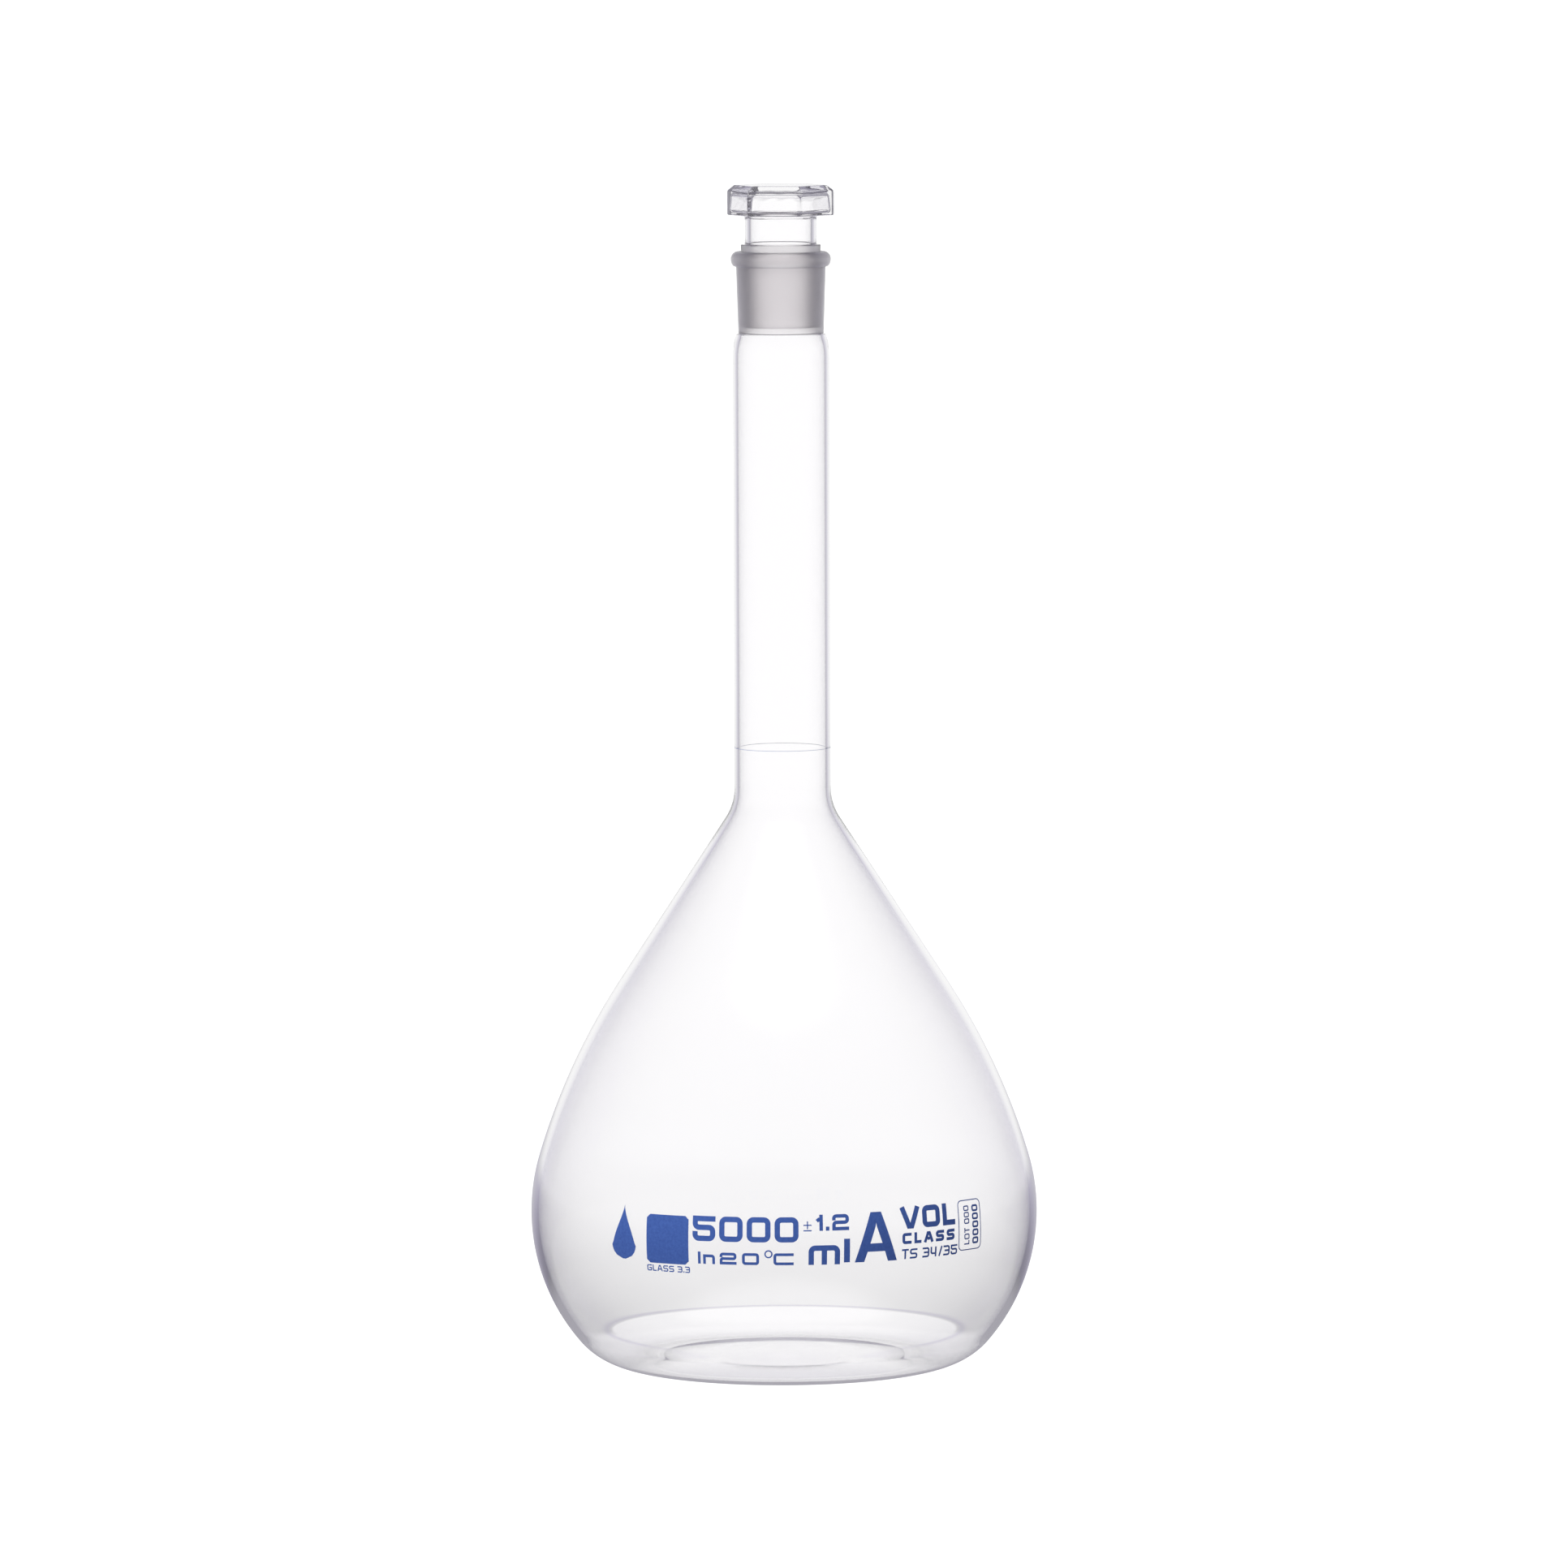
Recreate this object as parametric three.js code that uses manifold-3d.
// A 5 litre volumetric flask of borosilicate glass with its hollow hexagonal ground stopper.
// Millimetres, +Z up, origin on the axis at the level that the flask stands on.
// The flask is a blown bulb fused to a drawn neck tube and a moulded ground socket. The graduation
// ring and the printed badge are enamel fired on the outside. The stopper is a hollow ground cone
// and shank fused to a hollow six-sided head, and it lifts straight out of the socket.
import * as THREE from 'three';
import { mergeVertices } from 'three/addons/utils/BufferGeometryUtils.js';
import Module from 'manifold-3d';

// ---- driving dimensions ----
const SEGMENTS = 64; // facets round every turned piece, so that neighbouring pieces meet face to face

const CONTACT_OUTER = 64; // the flask stands on the flat ring between these two radii
const CONTACT_INNER = 56;
const KICK_UP = 3.5; // height of the pushed-in floor at the axis
const HEEL_RADIUS = 32; // the three arcs of the bulb, each tangent to the next
const HEEL_SWEEP = 49.5;
const BELLY_RADIUS = 85;
const BELLY_SWEEP = 57.2;
const SHOULDER_RADIUS = 290;
const SHOULDER_SWEEP = 16.4;
const THROAT_RADIUS = 24; // hollow fillet between the cone of the shoulder and the neck
const BULB_WALL = 3;
const HEEL_WALL = 2; // the base and the turn of the heel are thinner,
const HEEL_TOP = 14; // and the wall is full again at this height

const NECK_RADIUS = 20.65;
const NECK_WALL = 2.1;
const NECK_BORE = NECK_RADIUS - NECK_WALL;
const NECK_TOP = 431; // seam between the neck tube and the socket

const DRAW_IN = 432.4; // the outside and the bore turn in from the neck's radii at these heights
const LEDGE_FOOT = 432.8;
const WAIST_RADIUS = 18.2;
const WAIST = 444; // foot of the ground seat
const SOCKET_TOP_RADIUS = 19.1; // outside of the socket just under its bead
const BEAD_RADIUS = 21.35;
const BEAD_HEIGHT = 6.4;
const RIM = 478.8;
const RIM_FLAT = 0.6; // width of the level rim between the bead and the bevel of the seat

const CONE_TOP = 481.7; // the 34/35 ground cone: large end, small end and one in ten taper
const CONE_TOP_RADIUS = 17.05;
const CONE_BOTTOM = 446.5;
const CONE_TAPER = 0.05; // change of radius for each millimetre of height
const CONE_WALL = 2.3;
const SEAT_GAP = 0.12; // clearance between the ground cone and the ground socket
const BEVEL = 0.5; // along the rims of the ground faces

const SHANK_RADIUS = 15.35;
const SHANK_WALL = 2.45;
const SHANK_BORE = SHANK_RADIUS - SHANK_WALL;
const BORE_STEP = 4; // the wide bore of the shank reaches this far down into the cone
const FLARE = 0.6; // the shank widens into the underside of the head
const FLARE_HEIGHT = 2.5;

const HEAD_SEGMENTS = 72; // a whole number for each side of the hexagon
const HEAD_BOTTOM = 494.2;
const HEAD_TOP = 507.1;
const HEAD_APOTHEM = 20.1; // half the distance across the flats
const HEAD_CORNER = 1.5; // rounding of the six upright edges
const HEAD_TURN = -7; // degrees that the head is turned about the axis
const HEAD_CHAMFER = 2.5;
const HEAD_EDGE = 0.7; // bevel along the lower edge
const HEAD_WALL = 3;
const HEAD_ROOF = 3.7; // thickness of the glass over the cavity
const HEAD_FLOOR = 1.1;
const CAVITY_DRAFT = 0.8; // the head's cavity is this much wider at its floor
const CAVITY_FILLET = 1.5;

const RING_HEIGHT = 266.3; // graduation mark for 5000 ml
const RING_WIDTH = 0.3;
const ENAMEL = 0.15; // thickness of the fired enamel

const BADGE_X = -49.3; // centre and size of the printed badge on the front of the bulb
const BADGE_Z = 66.8;
const BADGE_WIDTH = 17.9; // seen from the front: about 20 along the curved glass
const BADGE_HEIGHT = 20.7;
const BADGE_CORNER = 1.6;

// ---- outlines ----
const radians = THREE.MathUtils.degToRad;

// Walks an outline in the (radius, height) half plane by straight lines and tangent arcs.
// heading is the direction of travel: 0 is outwards, 90 is up. Arcs turn left when sweep > 0.
class Outline {
  constructor(radius, height, heading) {
    this.radius = radius;
    this.height = height;
    this.heading = heading;
    this.points = [];
    this.mark();
  }

  mark() {
    const turn = radians(this.heading);
    const normal = new THREE.Vector2(-Math.sin(turn), Math.cos(turn)); // points into the glass
    this.points.push({ at: new THREE.Vector2(this.radius, this.height), normal });
  }

  line(length) {
    this.radius += length * Math.cos(radians(this.heading));
    this.height += length * Math.sin(radians(this.heading));
    this.mark();
    return this;
  }

  arc(radius, sweep, steps) {
    const side = Math.sign(sweep);
    const start = radians(this.heading);
    const centreR = this.radius - side * radius * Math.sin(start);
    const centreZ = this.height + side * radius * Math.cos(start);
    for (let step = 1; step <= steps; step += 1) {
      const turn = start + (radians(sweep) * step) / steps;
      this.radius = centreR + side * radius * Math.sin(turn);
      this.height = centreZ - side * radius * Math.cos(turn);
      this.heading = THREE.MathUtils.radToDeg(turn);
      this.mark();
    }
    return this;
  }
}

// Points of a quarter ellipse between two [radius, height] points, without the first one. It
// leaves the first point upright or level, and arrives at the last one the other way.
function quarter(from, to, upright, steps) {
  return Array.from({ length: steps }, (_, index) => {
    const turn = ((index + 1) / steps) * (Math.PI / 2);
    const early = Math.sin(turn);
    const late = 1 - Math.cos(turn);
    const [outwards, upwards] = upright ? [late, early] : [early, late];
    return [from[0] + (to[0] - from[0]) * outwards, from[1] + (to[1] - from[1]) * upwards];
  });
}

// The outside of the bulb, from the inner edge of the contact ring to the foot of the neck.
function bulbOutline() {
  const line = new Outline(CONTACT_INNER, 0, 0);
  line.line(CONTACT_OUTER - CONTACT_INNER);
  line.arc(HEEL_RADIUS, HEEL_SWEEP, 7);
  line.arc(BELLY_RADIUS, 90 - HEEL_SWEEP, 6); // up to the widest ring, where the wall is upright
  line.arc(BELLY_RADIUS, BELLY_SWEEP + HEEL_SWEEP - 90, 3);
  line.arc(SHOULDER_RADIUS, SHOULDER_SWEEP, 5);
  const lean = radians(line.heading);
  const throatReach = THROAT_RADIUS * (1 - Math.sin(lean));
  line.line((NECK_RADIUS + throatReach - line.radius) / Math.cos(lean));
  line.arc(THROAT_RADIUS, 90 - line.heading, 5);
  return line;
}

// The wall is BULB_WALL thick between the heel and the throat, where it thins to the neck's wall.
function wallAt(height, neckFoot) {
  const heel = THREE.MathUtils.smoothstep(height, 0, HEEL_TOP);
  const throat = THREE.MathUtils.smoothstep(height, neckFoot - THROAT_RADIUS, neckFoot);
  return HEEL_WALL + (BULB_WALL - HEEL_WALL) * heel + (NECK_WALL - BULB_WALL) * throat;
}

// ---- solids ----

// Turns a closed or axis-to-axis list of [radius, height] points about the Z axis.
function turned(points, segments = SEGMENTS) {
  const profile = points.map(([radius, height]) => new THREE.Vector2(radius, height));
  return new THREE.LatheGeometry(profile, segments).rotateX(Math.PI / 2);
}

function closedRing(points) {
  return turned([...points, points[0]]);
}

const wasm = await Module();
wasm.setup();

function toManifold(geometry) {
  const bare = geometry.clone();
  bare.deleteAttribute('normal');
  bare.deleteAttribute('uv');
  const merged = mergeVertices(bare, 1e-4);
  return new wasm.Manifold(new wasm.Mesh({
    numProp: 3,
    vertProperties: new Float32Array(merged.attributes.position.array),
    triVerts: new Uint32Array(merged.index.array),
  }));
}

function fromManifold(solid) {
  const mesh = solid.getMesh();
  const geometry = new THREE.BufferGeometry();
  geometry.setAttribute('position', new THREE.BufferAttribute(mesh.vertProperties, 3));
  geometry.setIndex(new THREE.BufferAttribute(mesh.triVerts, 1));
  geometry.computeVertexNormals();
  return geometry;
}

function bulbGeometry(outline, neckFoot) {
  const outside = outline.points.map(({ at }) => [at.x, at.y]);
  const inside = outline.points.map(({ at, normal }) => {
    const wall = wallAt(at.y, neckFoot);
    return [at.x + normal.x * wall, at.y + normal.y * wall];
  });
  const floorRise = [0, 1 / 3, 2 / 3].map((share) => [CONTACT_INNER * share, KICK_UP * (1 - share ** 2)]);
  const ceiling = floorRise.map(([radius, height]) => [radius, height + HEEL_WALL]).reverse();
  return turned([...floorRise, ...outside, ...inside.reverse(), ...ceiling]);
}

function neckGeometry(neckFoot) {
  return closedRing([
    [NECK_RADIUS, neckFoot], [NECK_RADIUS, NECK_TOP], [NECK_BORE, NECK_TOP], [NECK_BORE, neckFoot],
  ]);
}

const coneRadius = (height) => CONE_TOP_RADIUS - (CONE_TOP - height) * CONE_TAPER;
const seatRadius = (height) => coneRadius(height) + SEAT_GAP;

// The neck draws in to the waist, then the wall opens up the ground taper to the beaded rim.
function socketGeometry() {
  const drawIn = [NECK_RADIUS, DRAW_IN];
  const beadFoot = [SOCKET_TOP_RADIUS, RIM - BEAD_HEIGHT];
  const beadSide = [BEAD_RADIUS, RIM - BEAD_HEIGHT / 2];
  const bevelTop = [seatRadius(RIM) + BEVEL, RIM];
  const seatFoot = [seatRadius(WAIST), WAIST];
  return closedRing([
    [NECK_RADIUS, NECK_TOP],
    drawIn,
    ...quarter(drawIn, [WAIST_RADIUS, WAIST], true, 6),
    beadFoot,
    ...quarter(beadFoot, beadSide, false, 3),
    ...quarter(beadSide, [bevelTop[0] + RIM_FLAT, RIM], true, 3),
    bevelTop,
    [seatRadius(RIM - BEVEL), RIM - BEVEL],
    seatFoot,
    ...quarter(seatFoot, [NECK_BORE, LEDGE_FOOT], false, 6),
    [NECK_BORE, NECK_TOP],
  ]);
}

function ringGeometry() {
  const outside = NECK_RADIUS + ENAMEL;
  const low = RING_HEIGHT - RING_WIDTH / 2;
  const high = RING_HEIGHT + RING_WIDTH / 2;
  return closedRing([[outside, low], [outside, high], [NECK_RADIUS, high], [NECK_RADIUS, low]]);
}

function roundedRectangle(width, height, corner) {
  const right = width / 2 - corner;
  const top = height / 2 - corner;
  const shape = new THREE.Shape();
  shape.absarc(right, top, corner, 0, Math.PI / 2);
  shape.absarc(-right, top, corner, Math.PI / 2, Math.PI);
  shape.absarc(-right, -top, corner, Math.PI, 1.5 * Math.PI);
  shape.absarc(right, -top, corner, 1.5 * Math.PI, 2 * Math.PI);
  return shape;
}

// The badge is the part of a thin skin round the bulb that lies behind a rounded rectangle.
function badgeGeometry(outline) {
  const skin = (gap) => {
    const points = outline.points.map(({ at, normal }) => [at.x - normal.x * gap, at.y - normal.y * gap]);
    return toManifold(turned([[0, points[0][1]], ...points, [0, points.at(-1)[1]]]));
  };
  const clearance = 0.01;
  const shape = roundedRectangle(BADGE_WIDTH, BADGE_HEIGHT, BADGE_CORNER);
  const punch = new THREE.ExtrudeGeometry(shape, {
    depth: BELLY_RADIUS * 2,
    bevelEnabled: false,
    curveSegments: 4,
  });
  punch.rotateX(Math.PI / 2).translate(BADGE_X, 0, BADGE_Z);
  const shell = skin(clearance + ENAMEL).subtract(skin(clearance));
  return fromManifold(shell.intersect(toManifold(punch)));
}

// The ground cone carries on upwards as a clear shank, which flares into the head.
function plugGeometry() {
  const foot = coneRadius(CONE_BOTTOM);
  return closedRing([
    [foot - BEVEL, CONE_BOTTOM],
    [foot, CONE_BOTTOM + BEVEL],
    [coneRadius(CONE_TOP - BEVEL), CONE_TOP - BEVEL],
    [CONE_TOP_RADIUS - BEVEL, CONE_TOP],
    [SHANK_RADIUS, CONE_TOP],
    [SHANK_RADIUS, HEAD_BOTTOM - FLARE_HEIGHT],
    [SHANK_RADIUS + FLARE, HEAD_BOTTOM],
    [SHANK_BORE, HEAD_BOTTOM],
    [SHANK_BORE, CONE_TOP - BORE_STEP],
    [foot - CONE_WALL, CONE_BOTTOM],
  ]);
}

// Distance from the axis to a hexagon with rounded corners, for an apothem of 1.
function hexReach(angle, corner) {
  const fromFlat = Math.abs(THREE.MathUtils.euclideanModulo(angle + Math.PI / 6, Math.PI / 3) - Math.PI / 6);
  const fromCorner = Math.PI / 6 - fromFlat;
  const cornerCentre = (1 - corner) / Math.cos(Math.PI / 6);
  const roundStart = Math.atan2(cornerCentre / 2, 1);
  if (fromFlat <= roundStart) return 1 / Math.cos(fromFlat);
  const across = cornerCentre * Math.sin(fromCorner);
  return cornerCentre * Math.cos(fromCorner) + Math.sqrt(corner * corner - across * across);
}

// A turned shape whose flagged rings are pushed out from circles to rounded hexagons.
function headGeometry() {
  const ceiling = HEAD_TOP - HEAD_ROOF;
  const floor = HEAD_BOTTOM + HEAD_FLOOR;
  const narrow = HEAD_APOTHEM - HEAD_WALL;
  const wide = narrow + CAVITY_DRAFT;
  const rings = [
    { radius: 0, height: ceiling, hex: false },
    { radius: narrow - CAVITY_FILLET, height: ceiling, hex: true },
    { radius: narrow, height: ceiling - CAVITY_FILLET, hex: true },
    { radius: wide, height: floor + CAVITY_FILLET, hex: true },
    { radius: wide - CAVITY_FILLET, height: floor, hex: true },
    { radius: SHANK_BORE, height: floor, hex: false },
    { radius: SHANK_BORE, height: HEAD_BOTTOM, hex: false },
    { radius: SHANK_RADIUS + FLARE, height: HEAD_BOTTOM, hex: false },
    { radius: HEAD_APOTHEM - HEAD_EDGE, height: HEAD_BOTTOM, hex: true },
    { radius: HEAD_APOTHEM, height: HEAD_BOTTOM + HEAD_EDGE, hex: true },
    { radius: HEAD_APOTHEM, height: HEAD_TOP - HEAD_CHAMFER, hex: true },
    { radius: HEAD_APOTHEM - HEAD_CHAMFER, height: HEAD_TOP, hex: true },
    { radius: 0, height: HEAD_TOP, hex: false },
  ];
  const profile = rings.map(({ radius, height }) => [radius, height]);
  const geometry = turned(profile, HEAD_SEGMENTS).rotateZ(radians(HEAD_TURN));
  const position = geometry.attributes.position;
  for (let index = 0; index < position.count; index += 1) {
    if (!rings[index % rings.length].hex) continue;
    const x = position.getX(index);
    const y = position.getY(index);
    const fromFlat = Math.atan2(y, x) - radians(HEAD_TURN) + Math.PI / 6;
    const reach = hexReach(fromFlat, HEAD_CORNER / HEAD_APOTHEM);
    position.setXY(index, x * reach, y * reach);
  }
  return geometry;
}

// ---- materials ----
const clearGlass = () => new THREE.MeshStandardMaterial({
  color: 0xe9ecf2, roughness: 0.02, metalness: 0, transparent: true, opacity: 0.35,
});
const groundGlass = () => new THREE.MeshStandardMaterial({
  color: 0xd9d3d6, roughness: 0.6, metalness: 0, transparent: true, opacity: 0.8,
});
const blueEnamel = () => new THREE.MeshStandardMaterial({ color: 0x3b5496, roughness: 0.45, metalness: 0 });

// ---- assembly ----
function piece(name, geometry, material) {
  const mesh = new THREE.Mesh(geometry, material);
  mesh.name = name;
  return mesh;
}

const outline = bulbOutline();
const neckFoot = outline.height;

const flask = new THREE.Group();
flask.add(piece('bulb', bulbGeometry(outline, neckFoot), clearGlass()));
flask.add(piece('neck_tube', neckGeometry(neckFoot), clearGlass()));
flask.add(piece('ground_socket', socketGeometry(), groundGlass()));
flask.add(piece('graduation_ring', ringGeometry(), blueEnamel()));
flask.add(piece('enamel_badge', badgeGeometry(outline), blueEnamel()));

const stopper = new THREE.Group();
stopper.add(piece('stopper_cone', plugGeometry(), groundGlass()));
stopper.add(piece('stopper_head', headGeometry(), clearGlass()));

const model = new THREE.Group();
model.add(flask, stopper);

export default model;
